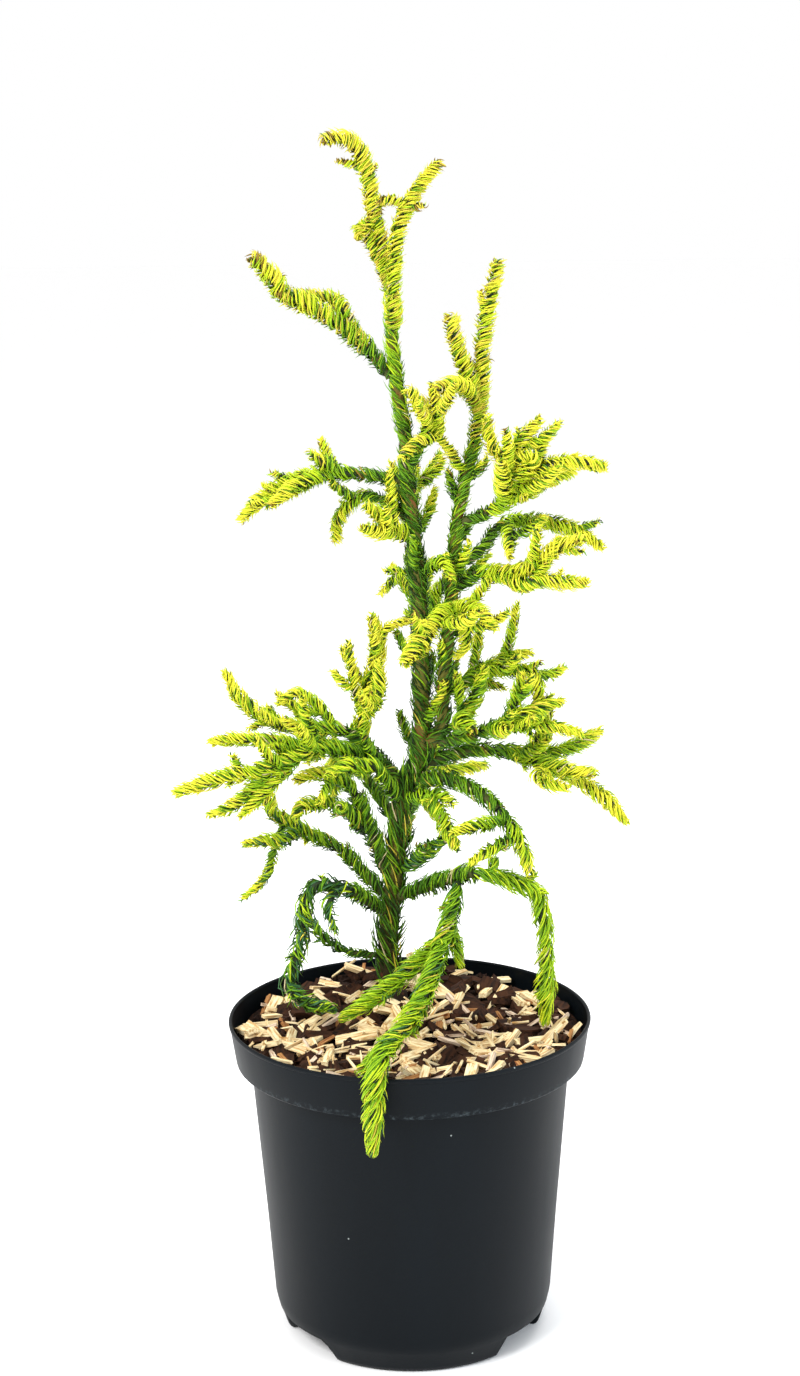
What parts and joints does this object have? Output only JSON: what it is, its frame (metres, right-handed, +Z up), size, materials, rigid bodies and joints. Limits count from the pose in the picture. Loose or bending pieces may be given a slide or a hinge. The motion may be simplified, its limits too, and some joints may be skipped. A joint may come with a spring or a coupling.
{
  "type": "potted conifer",
  "caption": "Young spiral-needled cedar with twisted rope-like shoots, some hanging low, in a round footed nursery pot with bark mulch.",
  "frame": {"origin": "centre of the pot's flat underside, at the level of its feet", "axes": "+Z up, +X to the plant's right and -Y to its front as pictured"},
  "size_m": [0.2705, 0.2549, 0.719],
  "materials": {
    "pot_plastic": "semi-matt moulded polypropylene",
    "mulch_bark": "moist bark mulch and wood chips",
    "old_bark": "young fibrous bark",
    "bough_green": "green needle-wrapped bark",
    "needle_green_lime": "fresh twisted needles",
    "needle_green_mid": "twisted needles",
    "needle_green_deep": "older twisted needles"
  },
  "bodies": {
    "root": {"back_left_bough": "bough_green", "back_left_shoots": "needle_green_lime", "back_low_bough": "bough_green", "back_low_shoots": "needle_green_deep", "back_middle_bough": "bough_green", "back_middle_shoots": "needle_green_mid", "back_upper_bough": "bough_green", "back_upper_shoots": "needle_green_deep", "front_hanging_shoots": "needle_green_mid", "front_low_shoots": "needle_green_mid", "front_shoots": "needle_green_deep", "inner_fan_shoots": "needle_green_mid", "inner_right_shoots": "needle_green_lime", "leader_shoots": "needle_green_lime", "left_arch_shoots": "needle_green_lime", "left_arm_bough": "bough_green", "left_arm_shoots": "needle_green_deep", "left_curled_shoots": "needle_green_mid", "left_inner_shoots": "needle_green_mid", "left_loop_bough": "bough_green", "left_loop_shoots": "needle_green_lime", "left_low_bough": "bough_green", "left_low_shoots": "needle_green_deep", "left_outer_shoots": "needle_green_mid", "left_rising_bough": "bough_green", "left_rising_shoots": "needle_green_deep", "left_second_bough": "bough_green", "left_second_shoots": "needle_green_lime", "left_spread_bough": "bough_green", "left_spread_shoots": "needle_green_lime", "left_thin_bough": "bough_green", "left_thin_shoots": "needle_green_mid", "left_third_shoots": "needle_green_mid", "left_tier_bough": "bough_green", "left_tier_shoots": "needle_green_deep", "left_upright_shoots": "needle_green_deep", "lower_right_bough": "bough_green", "pot": "pot_plastic", "potting_mix": "mulch_bark", "right_drooping_bough": "bough_green", "right_drooping_shoots": "needle_green_lime", "right_hanging_shoots": "needle_green_lime", "right_high_shoots": "needle_green_deep", "right_inner_shoots": "needle_green_mid", "right_leader_shoots": "needle_green_lime", "right_lower_inner_shoots": "needle_green_deep", "right_middle_bough": "bough_green", "right_middle_shoots": "needle_green_lime", "right_reaching_bough": "bough_green", "right_reaching_shoots": "needle_green_deep", "right_second_bough": "bough_green", "right_second_shoots": "needle_green_lime", "right_third_bough": "bough_green", "right_third_shoots": "needle_green_mid", "right_upper_bough": "bough_green", "right_upper_shoots": "needle_green_deep", "second_leader_shoots": "needle_green_mid", "second_stem": "old_bark", "trunk": "old_bark"}
  },
  "joints": []
}
